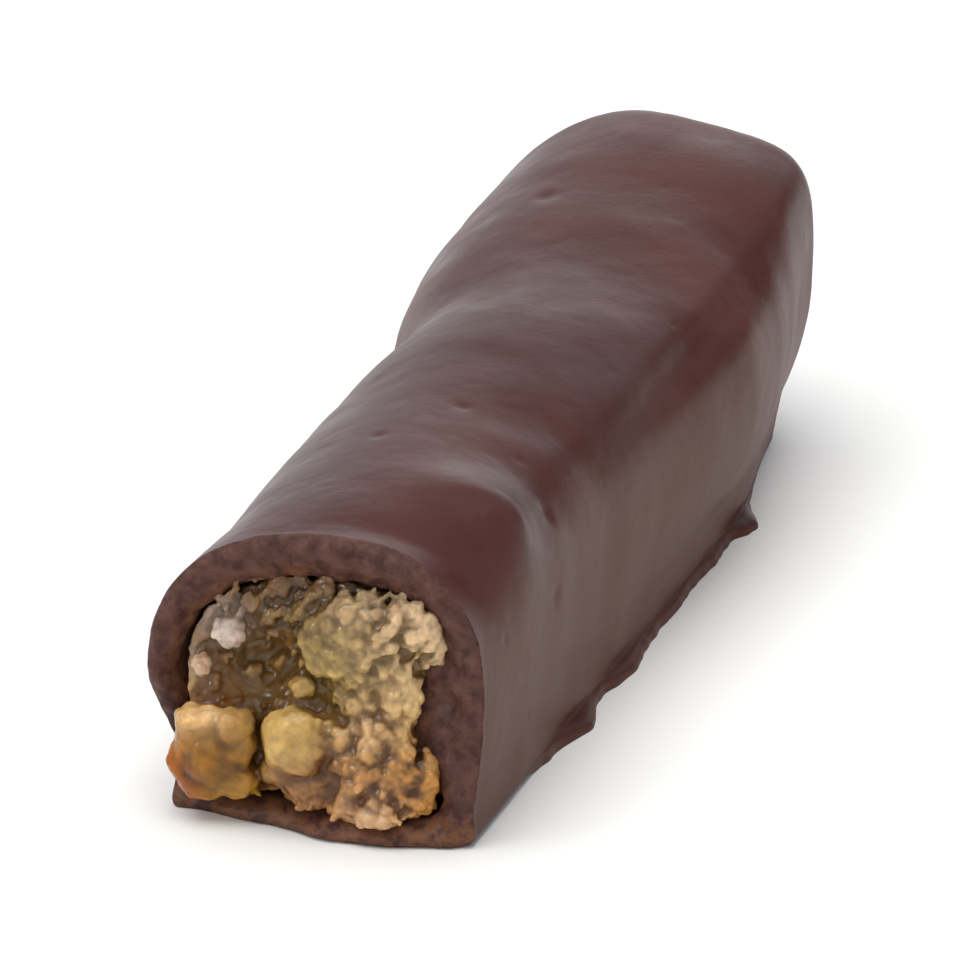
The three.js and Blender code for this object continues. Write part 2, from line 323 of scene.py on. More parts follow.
def end_rings(sizes, end, rounding, dome, turning, doming):
    """Rows round the edge of the whole end and in over its dome, and the dome's tip."""
    rows = []
    for angle in np.linspace(0, math.pi / 2, turning + 1)[1:]:
        y = end - rounding * (1 - math.sin(angle))
        rows.append(ring(sizes(y), y, rounding * (1 - math.cos(angle))))
    last = sizes(end)
    middle = (last["right"]["width"] - last["left"]["width"]) / 2
    tip = np.array((middle, end, (last["crown"] + last["floor"]) / 2))
    edge = rows[-1]
    soft = softened(softened(evenly_spaced(edge)))
    for share in np.linspace(0, 1, doming + 2)[1:-1]:
        row = lerp(lerp(edge, soft, smoothstep(share, 0, END_SOFTENED["by"])), tip, share)
        row[:, 1] = end + dome * (1 - (1 - share) ** 2)
        rows.append(row)
    return rows, tip + (0, dome, 0)


# ---- What bends the plain sections into this stick ----


def outward(points):
    """Directions away from the line along the stick's middle."""
    away = (points - (0, 0, CROWN / 2)) * (1, 0, 1)
    return away / np.linalg.norm(away, axis=-1, keepdims=True)


def lifted(points, lift):
    """Points moved outward, but for those of the foot."""
    above_foot = smoothstep(points[..., 2], FOOT_HEIGHT, FOOT_GROOVE_TOP)
    return points + outward(points) * (lift * above_foot)[..., None]


def relieved(points):
    return lifted(points, sum(size * nearness(points, at, reach) for at, reach, size in RELIEF))


def folded(points):
    lift = 0
    for centre, radii, turn, swell in FOLDS:
        cosine, sine = math.cos(math.radians(turn)), math.sin(math.radians(turn))
        x, y, z = np.moveaxis(points - centre, -1, 0)
        along, across = x * cosine + y * sine, y * cosine - x * sine
        away = (along / radii[0]) ** 2 + (across / radii[1]) ** 2 + (z / radii[2]) ** 2
        lift = lift + swell * np.exp(-away)
    return lifted(points, lift)


def broken(points):
    back = sum(depth * spot(points, at, reach) for at, reach, depth in RIM_BREAKS)
    return moved_back(points, back * np.clip(1 - points[..., 1] / BREAK_FADE, 0, 1))


def turned(points):
    x, y, z = np.moveaxis(points, -1, 0)
    corner = np.clip((-x - END_CORNER["beyond"]) / END_CORNER["over"], 0, 1)
    back = -END_SLANT * x - END_CORNER["back"] * corner**2 - END_UNDERCUT * (1 - z / CROWN)
    return moved_back(points, back * smoothstep(y, END_TURN_FROM, LENGTH))


def row_normals(rows):
    """Outward normals of a sheet of closed rows."""
    along = np.gradient(rows, axis=0)
    around = np.roll(rows, -1, axis=1) - np.roll(rows, 1, axis=1)
    normals = np.cross(around, along)
    return normals / np.maximum(np.linalg.norm(normals, axis=-1, keepdims=True), 1e-9)


# ---- Meshes ----


def loft_faces(rows, around, first_tip, last_tip):
    """Quads between the rows, and a fan from each end row to its tip."""
    here = np.arange(around)
    beside = np.roll(here, -1)
    quads = []
    for row in range(rows - 1):
        a, b = row * around, (row + 1) * around
        quads.append(np.column_stack([a + here, a + beside, b + beside, b + here]))
    last = (rows - 1) * around
    first_fan = [(first_tip, int(j), int(i)) for i, j in zip(here, beside)]
    last_fan = [(last_tip, int(last + i), int(last + j)) for i, j in zip(here, beside)]
    return np.vstack(quads).tolist() + first_fan + last_fan


def closed(rows, first, last):
    """The points and faces of rows that close in a tip at either end."""
    rows = np.array(rows)
    count, around = rows.shape[:2]
    points = np.vstack([rows.reshape(-1, 3), [first, last]])
    return points, loft_faces(count, around, count * around, count * around + 1)


def new_mesh(name, points, faces, smooth=True):
    mesh = bpy.data.meshes.new(name)
    mesh.from_pydata(points, [], faces)
    mesh.validate()
    mesh.polygons.foreach_set("use_smooth", [smooth] * len(mesh.polygons))
    mesh.update()
    thing = bpy.data.objects.new(name, mesh)
    bpy.context.scene.collection.objects.link(thing)
    return thing


def write_mask(thing, name, values):
    """Keeps a number for each vertex, for the material to read by this name."""
    mask = thing.data.attributes.new(name, "FLOAT", "POINT")
    mask.data.foreach_set("value", np.asarray(values, np.float32))


def into_frame(points):
    """From the stick's own millimetres into the frame's metres."""
    return (points - FRAME_MIDDLE) * MM


# ---- The chocolate coat ----

OUTER_ROWS = 215
FINE_AT_FACE = 0.62  # how much closer together the first rows are than the last ones
HOLLOW_ROWS = 14
RIM_ROWS = 24
RIM_DISH = 0.5  # how far the broken edge slopes in towards the peel
RIM_POWERS = {"round": 2.2, "dish": 1.5}

# The waves of chocolate that set as it ran, and the heights between which they begin above the floor.
WAVES = [(9, 0.13), ((3.2, 6, 3.2), 0.055), ((4, 2.2, 7), 0.045), (1.3, 0.016), (0.5, 0.008)]
WAVES_BEGIN = (0.15, 1.2)
# Small burst bubbles in the coat: how many, their radii, and how deep they are for their radius.
BUBBLES = {"count": 26, "radii": (0.16, 0.42), "depth": 0.24, "seed": 5}

# The right wall is thick where it is broken. It fills in between these heights, from this far to the right
# on, and fades out towards the back. There it is set back, but less so behind the edge.
WALL_FILL = {"low": (1.3, 2.6), "high": (6.0, 7.2), "right": (0.5, 2.5), "fade": (1.4, 4.5)}
WALL_FILL_MOVES = {"inwards": 1.6, "back": 0.75, "less_back": (0.3, 1.4)}
WALL_PITS = [((4.0, 6.0), 0.5, 0.8), ((4.05, 4.5), 0.42, 0.7), ((3.7, 2.0), 0.4, 0.4)]
# The roughness of the break, how far it goes on beside the rim, and where it fades out in the hollow.
FRACTURE = [(1.6, 0.16), (0.6, 0.11), (0.25, 0.06)]
FRACTURE_FADE = 0.5
FRACTURE_FADE_INSIDE = (0.5, 2)
# How the inner edge of the broken rim wanders, and where that fades out at the back and begins in height.
EDGE_WANDER = [(1.5, 0.22), (0.5, 0.12)]
EDGE_STRETCH = (1, 0.5, 1)
EDGE_FADE = (1, 3)
EDGE_BEGINS = (0.8, 1.6)

BREAK_BLUR = 0.1  # how far the look of the break goes on past the rim
# The rim is smeared with syrup over its inner part, and all over near the floor.
SMEAR = {"across": 0.5, "strength": 0.85, "low": (0.8, 1.4)}
FLANK = {"aside": (0.6, 1), "below": (5, 9)}  # how far a side faces aside, and where it ends in height
# Where the top gets a painted sheen, grey as the bright studio it stands in for: centre and reach.
PAINTED_SHEEN = [
    ((-3.2, 6, 9), 3.4),
    ((-3, 12, 9.2), 4),
    ((-2.6, 19, 9.4), 3),
    ((4.1, 7.6, 9.2), 1.8),
    ((3.6, 19, 9.2), 3),
]
# Each mask at the tip deep in the hollow, and at that of the whole end.
AT_TIPS = {"break": (1, 0), "smear": (0, 0), "flank": (0, 1), "painted_sheen": (0, 0)}


def hollow_rows():
    """The inside of the coat from its deep end out to the rim, and the tip of that end."""
    end = LENGTH - WALL["end"]
    deep, tip = end_rings(hollow_sizes, end, END_ROUND / 2, 0, *END_ROWS["inside"])
    first = RIM_ROUND + RIM_DISH
    depths = first + (end - END_ROUND - first) * np.linspace(0, 1, HOLLOW_ROWS) ** 2
    inner = [ring(hollow_sizes(y), y) for y in depths]
    return (inner + deep)[::-1], tip


def rim_rows(shares):
    """The broken rim, at these shares of the way across it from its inner edge."""
    inner_edge, outer_edge = ring(hollow_sizes(0), 0), ring(coat_sizes(0), 0)
    rows = [lerp(inner_edge, outer_edge, share) for share in shares]
    for row, share in zip(rows, shares):
        rounding = RIM_ROUND * abs(2 * share - 1) ** RIM_POWERS["round"]
        row[:, 1] = rounding + RIM_DISH * (1 - share) ** RIM_POWERS["dish"]
    return rows


def outer_rows():
    """The outside of the coat back from the rim, and the tip of the whole end."""
    steps = np.linspace(0, 1, OUTER_ROWS)
    steps = steps * (1 - FINE_AT_FACE) + FINE_AT_FACE * steps**2
    outer = [ring(coat_sizes(y), y) for y in RIM_ROUND + (LENGTH - END_ROUND - RIM_ROUND) * steps]
    far, tip = end_rings(coat_sizes, LENGTH, END_ROUND, END_DOME, *END_ROWS["outside"])
    return outer + far, tip


def coat_rows():
    """Rows from deep in the hollow, out over the broken rim and back along the outside, and both tips.

    Also how far each row has got across the rim, from 0 at its inner edge to 1 at its outer one.
    """
    hollow, deep_tip = hollow_rows()
    rim_shares = np.linspace(0, 1, RIM_ROWS + 2)[1:-1]
    outer, far_tip = outer_rows()
    across = np.concatenate([np.zeros(len(hollow)), rim_shares, np.ones(len(outer))])
    return np.array(hollow + rim_rows(rim_shares) + outer), across[:, None], np.array([deep_tip, far_tip])


def bubbles(points):
    """How deep each point lies in one of the small round dents."""
    draw = random.Random(BUBBLES["seed"])
    depth = np.zeros(len(points))
    for _ in range(BUBBLES["count"]):
        centre = points[draw.randrange(len(points))]
        radius = lerp(*BUBBLES["radii"], draw.random() ** 2)
        depth += BUBBLES["depth"] * radius * nearness(points, centre, radius)
    return depth


def uneven(rows, normals):
    """Rows with the small waves and bubbles of the set chocolate."""
    flat = rows.reshape(-1, 3)
    lift = unevenness(flat, WAVES, SEEDS["waves"]) - bubbles(flat)
    lift = lift.reshape(rows.shape[:2]) * smoothstep(rows[..., 2], *WAVES_BEGIN)
    return rows + normals * lift[..., None]


def wall_fill(rows, across):
    """How much of its thick part the right wall has at each point."""
    x, y, z = np.moveaxis(rows, -1, 0)
    rise = smoothstep(z, *WALL_FILL["low"]) * (1 - smoothstep(z, *WALL_FILL["high"]))
    return rise * smoothstep(x, *WALL_FILL["right"]) * (1 - smoothstep(y, *WALL_FILL["fade"])) * (1 - across)


def edge_wander(rows, across):
    """How far out or in the inner edge of the rim wanders."""
    y, z = rows[..., 1], rows[..., 2]
    wander = unevenness(rows.reshape(-1, 3) * EDGE_STRETCH, EDGE_WANDER, SEEDS["edge"]).reshape(y.shape)
    return wander * (1 - across) * (1 - smoothstep(y, *EDGE_FADE)) * smoothstep(z, *EDGE_BEGINS)


def filled_in(rows, across):
    """Rows with the right wall's thick part, and the wandering inner edge of the rim."""
    fill = wall_fill(rows, across)
    moved = rows + outward(rows) * edge_wander(rows, across)[..., None]
    moved[..., 0] -= WALL_FILL_MOVES["inwards"] * fill
    less = smoothstep(rows[..., 1], *WALL_FILL_MOVES["less_back"])
    return moved_back(moved, WALL_FILL_MOVES["back"] * fill * (1 - less))


def fractured(rows, across):
    """Rows with a rough broken rim, and an uneven edge beside it."""
    over_face = rows.reshape(-1, 3) * (1, 0, 1)
    depth = unevenness(over_face, FRACTURE, SEEDS["fracture"]).reshape(rows.shape[:2])
    for at, reach, size in WALL_PITS:
        depth = depth + size * spot(rows, at, reach) * (1 - across)
    beside = np.exp(-((rows[..., 1] / FRACTURE_FADE) ** 2))
    inside = (across < 1) * (1 - smoothstep(rows[..., 1], *FRACTURE_FADE_INSIDE))
    return moved_back(rows, depth * np.maximum(beside, inside))


def break_masks(rows, across):
    """Where the coat is broken, and where the break is smeared. The rows are still the plain ones."""
    edge_fade = np.exp(-((np.maximum(rows[..., 1] - RIM_ROUND, 0) / BREAK_BLUR) ** 2))
    smear = np.where(across < 1, 1 - smoothstep(across, 0, SMEAR["across"]), 0)
    low = 1 - smoothstep(rows[..., 2], *SMEAR["low"])
    return {
        "break": np.where(across < 1, 1, edge_fade),
        "smear": np.maximum(smear * SMEAR["strength"], low * (across < 1)),
    }


def surface_masks(shaped):
    """Where the coat is a side, which takes a painted warm reflection, and where its top takes a painted
    sheen.
    """
    aside = np.hypot(*np.moveaxis(row_normals(shaped), -1, 0)[:2])
    painted_sheen = sum(nearness(shaped, at, reach) for at, reach in PAINTED_SHEEN)
    return {
        "flank": smoothstep(aside, *FLANK["aside"]) * (1 - smoothstep(shaped[..., 2], *FLANK["below"])),
        "painted_sheen": np.minimum(painted_sheen, 1),
    }


def chocolate_coat():
    rows, across, tips = coat_rows()
    shaped = folded(relieved(fractured(filled_in(rows, across), across)))
    outside = across[:, 0] == 1
    shaped[outside] = uneven(shaped[outside], row_normals(shaped)[outside])
    shaped = turned(broken(shaped))
    shaped[..., 2] = np.maximum(shaped[..., 2], 0)
    points, faces = closed(shaped, *turned(relieved(tips)))
    coat = new_mesh("chocolate_coat_dressed", into_frame(points), faces)
    for name, values in {**break_masks(rows, across), **surface_masks(shaped)}.items():
        write_mask(coat, name, np.append(values.ravel(), AT_TIPS[name]))
    return coat


# ---- The candied peel ----

FACE_RINGS = 60
EDGE_HOLD = 8  # the higher, the nearer to its edge the face goes back to flat
FRONT_DEPTH = 2.8  # how far back the finely modelled front of the peel goes
FRONT_ROWS = 8
VOXEL = 0.065
# The plain rest of the peel: its rows, how far it reaches into the front, and how many times fewer points.
BACK = {"rows": 14, "overlap": 0.6, "coarser": 4}

# Lobes and pits of the broken face: centre (x, z), reach, and how far each stands forward.
PEEL_LOBES = [
    ((-3.4, 2.2), 1.5, 0.8),
    ((-0.7, 2.6), 1.3, 0.6),
    ((1.8, 1.6), 1.7, 0.9),
    ((1.3, 5.9), 2.1, 0.75),
    ((2.9, 7.2), 1.1, 0.5),
    ((-2.6, 6.9), 1.0, 0.3),
    ((-2.3, 4.9), 1.35, -1.25),
    ((-1.3, 5.7), 0.8, -0.5),
    ((-2.0, 2.6), 0.45, -1.2),
    ((3.8, 4.3), 1.2, -1.8),
    ((0.6, 4.0), 0.6, -0.35),
]
# Lumps of peel that stand out of the face: centre and radii.
LUMPS = [
    ((-3.45, 0.2, 2.3), (1.3, 0.95, 1.5)),
    ((-3.95, 0.1, 3.2), (0.8, 0.7, 0.6)),
    ((-2.85, 0.15, 3.2), (0.7, 0.65, 0.6)),
    ((-4.4, 0.25, 1.9), (0.6, 0.7, 0.8)),
    ((-2.75, 0.2, 1.4), (0.75, 0.7, 0.65)),
    ((-3.8, 0.15, 1.2), (0.85, 0.65, 0.55)),
    ((-0.75, 0.0, 2.95), (1.15, 0.85, 1.15)),
    ((0.25, 0.3, 3.2), (0.7, 0.6, 0.7)),
    ((-1.2, 0.3, 1.9), (0.8, 0.7, 0.6)),
    ((-0.2, 0.25, 1.5), (1.2, 0.7, 0.75)),
    ((-0.65, 0.5, 4.55), (0.45, 0.45, 0.4)),
    ((1.0, 0.55, 6.3), (1.7, 0.8, 1.5)),
    ((2.4, 0.75, 4.7), (0.75, 0.7, 1.4)),
    ((3.1, 0.6, 7.0), (0.85, 0.6, 0.7)),
    ((1.2, 0.65, 4.2), (0.9, 0.6, 0.8)),
    ((2.1, 0.3, 2.2), (0.95, 0.8, 0.9)),
    ((1.7, 0.45, 3.4), (1.2, 0.65, 0.7)),
    ((0.9, 0.3, 1.4), (0.8, 0.7, 0.6)),
    ((2.9, 0.45, 1.3), (0.8, 0.7, 0.6)),
    ((-3.05, 0.45, 6.2), (0.6, 0.6, 0.46)),
    ((-4.0, 0.6, 4.9), (0.36, 0.5, 0.45)),
    ((1.9, -0.45, 0.95), (0.74, 0.5, 0.48)),
]
LUMP_LAYERS = [(0.9, 0.2, 40), (0.35, 0.08, 70)]  # wavelength, depth and first seed of their unevenness
# Grains over the face: the part of it they lie in (x and z), how many, their sizes, how far they stand
# forward of the face, and how much longer they are along the fibres than across.
GRAINS = [
    ((-1.4, 3.9), (5.2, 8.0), 230, (0.13, 0.32), (-0.14, 0.16), 1.7),
    ((-3.6, -1.4), (5.8, 8.0), 50, (0.12, 0.3), (-0.15, 0.15), 1.6),
    ((0.2, 2.6), (2.9, 5.6), 130, (0.14, 0.34), (-0.12, 0.18), 1.5),
    ((0.3, 3.4), (0.75, 3.2), 110, (0.2, 0.5), (-0.1, 0.45), 1.4),
    ((-1.8, 0.6), (0.8, 3.9), 30, (0.1, 0.24), (-0.15, 0.15), 1.1),
    ((-4.7, -2.0), (0.8, 3.9), 26, (0.1, 0.24), (-0.1, 0.3), 1.0),
    ((-4.3, -1.0), (3.8, 6.2), 34, (0.12, 0.3), (-0.3, 0.1), 1.3),
    ((-0.6, 3.2), (0.78, 1.0), 30, (0.12, 0.26), (0.3, 1.1), 1.0),
]
GRAIN_SEED = 11
GRAIN_STRETCH = (0.7, 1.2)  # how much each radius of a grain may differ from its size
GRAIN_ROUGHNESS = {"wave": 0.9, "depth": 0.4, "seeds": (0, 90)}
FIBRES = math.radians(38)  # how far the fibres lean from the vertical, to the right
BALL_LEVEL = {"lump": 4, "grain": 2}
# The part of the face that grains may lie in is a rounded square: its middle and half its size (x and z).
FIELD = {"middle": (-0.25, 4.45), "half": (4.35, 3.75), "power": 4}


def face_forward(points):
    """How far the lobes stand forward of the plain face, and the pits behind it."""
    return sum(forward * spot(points, at, reach) for at, reach, forward in PEEL_LOBES)


def peel_section(y):
    return ring(peel_sizes(y), y)


def peel_front():
    """A closed block: the broken face in rings round its middle, sides that run back, and a flat back."""
    edge = peel_section(0)
    middle = np.array((0, 0, (CROWN - WALL["roof"] + WALL["floor"]) / 2))
    rows = []
    for share in np.linspace(0, 1, FACE_RINGS + 1)[1:]:
        row = lerp(middle, edge, share)
        row[:, 1] = PEEL_SETBACK - face_forward(row) * (1 - share**EDGE_HOLD)
        rows.append(row)
    tip = middle + (0, PEEL_SETBACK - face_forward(middle), 0)
    rows += [peel_section(y) for y in np.linspace(PEEL_SETBACK, FRONT_DEPTH, FRONT_ROWS)[1:]]
    return closed(rows, tip, middle + (0, FRONT_DEPTH, 0))


def peel_back():
    """The plain rest of the peel, inside the coat."""
    end = LENGTH - WALL["end"] - PEEL_GAP
    far, tip = end_rings(peel_sizes, end, END_ROUND / 2, 0, *END_ROWS["inside"])
    depths = np.linspace(FRONT_DEPTH - BACK["overlap"], LENGTH - WALL["end"] - END_ROUND, BACK["rows"])
    rows = np.array([peel_section(y) for y in depths] + far)[:, :: BACK["coarser"]]
    points, faces = closed(rows, rows[0].mean(0), tip)
    return turned(relieved(points)), faces


def ball(level):
    """The points and faces of a unit ball."""
    form = bmesh.new()
    bmesh.ops.create_icosphere(form, subdivisions=level, radius=1)
    points = np.array([v.co[:] for v in form.verts])
    faces = [[v.index for v in f.verts] for f in form.faces]
    form.free()
    return points, faces


def gather(parts):
    """Several sets of points and faces as one."""
    points, faces, used = [], [], 0
    for some, their_faces in parts:
        points.append(some)
        faces.extend([used + i for i in face] for face in their_faces)
        used += len(some)
    return np.vstack(points), faces


def lumps():
    unit, faces = ball(BALL_LEVEL["lump"])
    made = []
    for i, (centre, radii) in enumerate(LUMPS):
        rough = 1
        for wave, depth, seed in LUMP_LAYERS:
            rough = rough + depth * ripple(unit, wave, seed + i)[:, None]
        made.append((unit * rough * radii + centre, faces))
    return made


def inside_face(x, z):
    (middle_x, middle_z), (half_x, half_z) = FIELD["middle"], FIELD["half"]
    across = (x - middle_x) / half_x
    up = (z - middle_z) / half_z
    return abs(across) ** FIELD["power"] + abs(up) ** FIELD["power"] < 1


def along_fibres(points):
    """Turned in the face's plane, so that what was upright follows the fibres."""
    cosine, sine = math.cos(FIBRES), math.sin(FIBRES)
    x, y, z = points.T
    return np.column_stack([x * cosine + z * sine, y, z * cosine - x * sine])


def grain(draw, unit, across, up, sizes, forward, longer):
    """The points of one grain of the face, or nothing if it would lie beside the face."""
    x, z = draw.uniform(*across), draw.uniform(*up)
    size = lerp(*sizes, draw.random() ** 2)
    stretch = np.array([draw.uniform(*GRAIN_STRETCH) for _ in range(3)])
    radii = size * (stretch * (1, 1, longer))
    bumps = ripple(unit, GRAIN_ROUGHNESS["wave"], draw.uniform(*GRAIN_ROUGHNESS["seeds"]))[:, None]
    rough = 1 + GRAIN_ROUGHNESS["depth"] * bumps
    stand = draw.uniform(*forward)
    if not inside_face(x, z):
        return None
    y = PEEL_SETBACK - float(face_forward(np.array((x, 0, z)))) - stand
    return along_fibres(unit * rough * radii) + (x, y, z)


def grains():
    """Loose grains of the broken flesh, half sunk in the face."""
    draw = random.Random(GRAIN_SEED)
    unit, faces = ball(BALL_LEVEL["grain"])
    made = []
    for across, up, count, *form in GRAINS:
        made += [grain(draw, unit, across, up, *form) for _ in range(count)]
    return [(points, faces) for points in made if points is not None]


# Unevenness of the flesh, and the crumbs of its surface: how large they are, and how deep between them.
PEEL_LAYERS = [(1.2, 0.1), (0.4, 0.05)]
CRUMBS = [(0.55, 0.1), (0.26, 0.05)]
CRUMB_SLOPE = 0.35  # how wide the sides of a crack are, for the size of the crumbs
CRUMB_LEVEL = 0.7  # how high up a crumb the surface was before
# The glassy lobes have less of both: centre (x, z), reach, and how much less.
GLASSY = [((-3.4, 2.3), 1.7, 1.4), ((-0.8, 2.9), 1.1, 1.2)]
GLASSY_MOST = 0.75
ROUGH_TO = (1.6, 2.4)  # between where both fade out towards the back
MELT = {"steps": 4, "factor": 0.5}


def applied(thing):
    """The object, with its modifiers applied to its mesh."""
    graph = bpy.context.evaluated_depsgraph_get()
    mesh = bpy.data.meshes.new_from_object(thing.evaluated_get(graph))
    thing.modifiers.clear()
    thing.data = mesh
    return thing


def remeshed(thing, voxel):
    """Makes one skin of forms that run into each other."""
    remesh = thing.modifiers.new("remesh", "REMESH")
    remesh.mode = "VOXEL"
    remesh.voxel_size = voxel
    remesh.adaptivity = 0
    return applied(thing)


def melted(thing):
    """Softens the crumbs, as the syrup on them does."""
    soften = thing.modifiers.new("soften", "SMOOTH")
    soften.factor = MELT["factor"]
    soften.iterations = MELT["steps"]
    return applied(thing)


def joined(thing, other):
    union = thing.modifiers.new("union", "BOOLEAN")
    union.operation = "UNION"
    union.solver = "MANIFOLD"
    union.object = other
    applied(thing)
    bpy.data.objects.remove(other)
    return thing


def vertices_of(mesh, kind="co"):
    values = np.empty(len(mesh.vertices) * 3)
    mesh.vertices.foreach_get(kind, values)
    return values.reshape(-1, 3)


def crumbled(points, size):
    """0 in the cracks between crumbs of this size, and 1 on them."""
    gaps = [noise.voronoi(Vector(p / size))[0] for p in points]
    return np.array([min((second - first) / CRUMB_SLOPE, 1) for first, second, *_ in gaps])


def roughened(thing):
    mesh = thing.data
    points, normals = vertices_of(mesh), vertices_of(mesh, "normal")
    lift = unevenness(points, PEEL_LAYERS, SEEDS["peel"])
    lift = lift + sum(depth * (crumbled(points, size) - CRUMB_LEVEL) for size, depth in CRUMBS)
    glassy = np.clip(sum(less * spot(points, at, reach) for at, reach, less in GLASSY), 0, GLASSY_MOST)
    near = 1 - smoothstep(points[:, 1], *ROUGH_TO)
    points = points + normals * (lift * near * (1 - glassy))[:, None]
    mesh.vertices.foreach_set("co", points.ravel())
    mesh.update()
    return thing


def candied_peel():
    loose = grains()
    points, faces = gather([peel_front(), *lumps(), *loose])
    peel = new_mesh("candied_peel_dressed", relieved(points), faces)
    melted(remeshed(peel, VOXEL))
    melted(roughened(peel))
    joined(peel, new_mesh("peel_back", *peel_back()))
    mesh = peel.data
    points = vertices_of(mesh)
    write_flesh(peel, points, loose)
    mesh.vertices.foreach_set("co", into_frame(points).ravel())
    mesh.polygons.foreach_set("use_smooth", [True] * len(mesh.polygons))
    mesh.update()
    return peel


# The flesh's colours, from 0 to 255: centre (x, z), reach, on its crumbs, and in the cracks between them,
# where the darker colour is painted shade.
FLESH = [
    # Painted shadow under the coat's roof, with some chocolate smeared on the peel.
    ((-0.2, 7.9), 1.0, (88, 52, 26), (56, 32, 12)),
    ((-0.3, 6.7), 0.7, (136, 112, 58), (86, 62, 28)),
    # Painted shadow under the coat's roof, with some chocolate smeared on the peel.
    ((1.9, 8.2), 0.7, (120, 90, 60), (78, 54, 32)),
    ((2.2, 6.9), 1.8, (206, 174, 134), (116, 90, 54)),
    ((0.6, 5.9), 1.5, (164, 138, 70), (102, 78, 32)),
    ((2.4, 4.4), 1.3, (208, 174, 118), (120, 86, 44)),
    ((-2.4, 5.0), 1.5, (170, 130, 72), (122, 90, 46)),
    # Painted shadow under the coat's roof, with some chocolate smeared on the peel.
    ((-2.9, 7.0), 1.6, (114, 82, 48), (72, 48, 24)),
    # Painted highlights: these two lumps are near white where the syrup on them glints.
    ((-3.1, 6.2), 0.65, (252, 240, 234), (190, 166, 150)),
    ((-4.0, 4.9), 0.45, (212, 182, 160), (142, 112, 90)),
    ((-3.6, 3.7), 0.65, (224, 186, 130), (146, 98, 48)),
    ((-3.4, 2.3), 1.0, (156, 106, 4), (90, 52, 2)),
    ((-4.4, 1.5), 0.75, (150, 76, 0), (90, 42, 0)),
    ((-2.8, 1.1), 0.7, (178, 130, 44), (108, 66, 18)),
    ((-0.9, 3.1), 0.9, (200, 166, 96), (132, 94, 46)),
    ((-0.4, 1.4), 1.1, (152, 106, 64), (100, 62, 32)),
    ((2.1, 2.1), 1.4, (186, 128, 58), (68, 36, 8)),
    ((1.8, 1.0), 0.8, (226, 188, 146), (140, 94, 58)),
    ((1.6, 3.5), 0.6, (218, 178, 130), (120, 78, 40)),
]
LEAST_WEIGHT = 1e-6  # of each colour, so that their sum is never 0
SUNK_SHADE = (-0.1, 0.12)  # how far behind its surroundings a place begins to take the painted shade, and is all shaded
LOOSE_TINT = 0.16  # how much lighter or darker one grain is than another
CLEAR_LOBE = {"at": (-3.6, 2.2), "reach": 2.0, "strength": 1.6}

# The grid over the face on which its surroundings are averaged: its corner (x and z), the size of a cell,
# how deep a place may count, and how far the average reaches.
RECESS_CORNER = (-8, -1)
RECESS_CELL = 0.12
RECESS_DEEPEST = 2
RECESS_REACH = 0.35
RECESS_CELLS = 9


def between_cells(grid, places):
    """The grid's value at each place, blended from the four cells round it."""
    first = np.floor(places).astype(int)
    right, up = (places - first).T
    i, j = first.T
    below = lerp(grid[i, j], grid[i + 1, j], right)
    above = lerp(grid[i, j + 1], grid[i + 1, j + 1], right)
    return lerp(below, above, up)


def recess(points):
    """How far each point of the face lies behind its surroundings."""
    places = (points[:, [0, 2]] - RECESS_CORNER) / RECESS_CELL
    columns, rows = places.astype(int).T
    depth = np.full(places.max(0).astype(int) + 2, FRONT_DEPTH)
    np.minimum.at(depth, (columns, rows), points[:, 1])
    depth = np.minimum(depth, RECESS_DEEPEST)
    steps = np.arange(-RECESS_CELLS, RECESS_CELLS + 1) * RECESS_CELL
    weights = np.exp(-((steps / RECESS_REACH) ** 2))
    weights = weights / weights.sum()
    for axis in (0, 1):
        depth = np.apply_along_axis(np.convolve, axis, depth, weights, "same")
    return points[:, 1] - between_cells(depth, places - 0.5)


def grain_tints(points, loose):
    """A chance lightness for each point, shared by the points of one grain."""
    tree = KDTree(len(loose))
    for i, (points_of_grain, _) in enumerate(loose):
        tree.insert(points_of_grain.mean(0), i)
    tree.balance()
    draw = random.Random(GRAIN_SEED)
    chances = np.array([draw.uniform(-1, 1) for _ in loose])
    return chances[[tree.find(p)[1] for p in points]]


def write_flesh(peel, points, loose):
    """The flesh's colour at each vertex: pale on the crumbs, and darker in the cracks and pits, which is
    painted shade.
    """
    weights = np.array([spot(points, at, reach) + LEAST_WEIGHT for at, reach, *_ in FLESH])
    weights = (weights / weights.sum(0)).T
    on_crumbs = weights @ np.array([linear(*crumb)[:3] for _, _, crumb, _ in FLESH])
    shaded_in_cracks = weights @ np.array([linear(*crack)[:3] for _, _, _, crack in FLESH])
    # The crack colour on places that lie behind their surroundings is painted shade.
    sunk = smoothstep(recess(points), *SUNK_SHADE)[:, None]
    tint = 1 + LOOSE_TINT * grain_tints(points, loose)[:, None]
    colours = np.column_stack([lerp(on_crumbs, shaded_in_cracks, sunk) * tint, np.ones(len(points))])
    layer = peel.data.attributes.new("flesh", "FLOAT_COLOR", "POINT")
    layer.data.foreach_set("color", colours.astype(np.float32).ravel())
    clear = spot(points, CLEAR_LOBE["at"], CLEAR_LOBE["reach"]) * CLEAR_LOBE["strength"]
    write_mask(peel, "clear", np.clip(clear, 0, 1))


# ---- Materials ----


def plug(tree, value, socket):
    """Links another node's socket to this one, or sets it to a plain value."""
    if isinstance(value, bpy.types.NodeSocket):
        tree.links.new(value, socket)
    else:
        socket.default_value = value


def add(tree, kind, inputs=None, **settings):
    node = tree.nodes.new("ShaderNode" + kind)
    for name, value in settings.items():
        setattr(node, name, value)
    for name, value in (inputs or {}).items():
        plug(tree, value, node.inputs[name])
    return node


def new_material(name):
    material = bpy.data.materials.new(name)
    material.use_nodes = True
    tree = material.node_tree
    return material, tree, tree.nodes["Principled BSDF"]


def mask_of(tree, name):
    return add(tree, "Attribute", attribute_name=name).outputs["Fac"]


